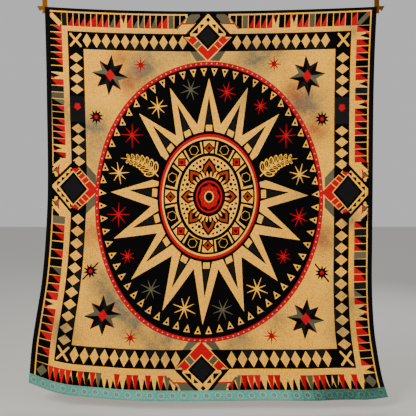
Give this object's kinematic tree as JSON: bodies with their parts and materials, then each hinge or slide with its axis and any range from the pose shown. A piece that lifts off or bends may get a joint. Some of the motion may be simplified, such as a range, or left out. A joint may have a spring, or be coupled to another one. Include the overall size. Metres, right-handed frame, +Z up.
{
  "type": "quilt with two hanging hooks",
  "caption": "Patchwork bed quilt with an oval medallion, hung face forward by its top corners from brass hooks.",
  "frame": {"origin": "midway between the two hooks, on the plane of their backs, level with the quilt's top corners", "axes": "+Z up, +X to the right of someone facing the quilt, +Y into the wall; the face looks along -Y"},
  "size_m": [2.0474, 0.1166, 2.255],
  "materials": {
    "patchwork_cotton": "matte pieced cotton",
    "binding_cotton": "matte near-black cotton",
    "hem_cotton": "matte teal cotton",
    "tape_cotton": "matte red dotted cotton",
    "brass": "plain satin brass"
  },
  "bodies": {
    "root": {"quilt_panel": "patchwork_cotton", "binding_left": "binding_cotton", "binding_right": "binding_cotton", "binding_top": "binding_cotton", "hem_band": "hem_cotton", "medallion_tape": "tape_cotton", "hook_left": "brass", "hook_right": "brass"}
  },
  "joints": []
}
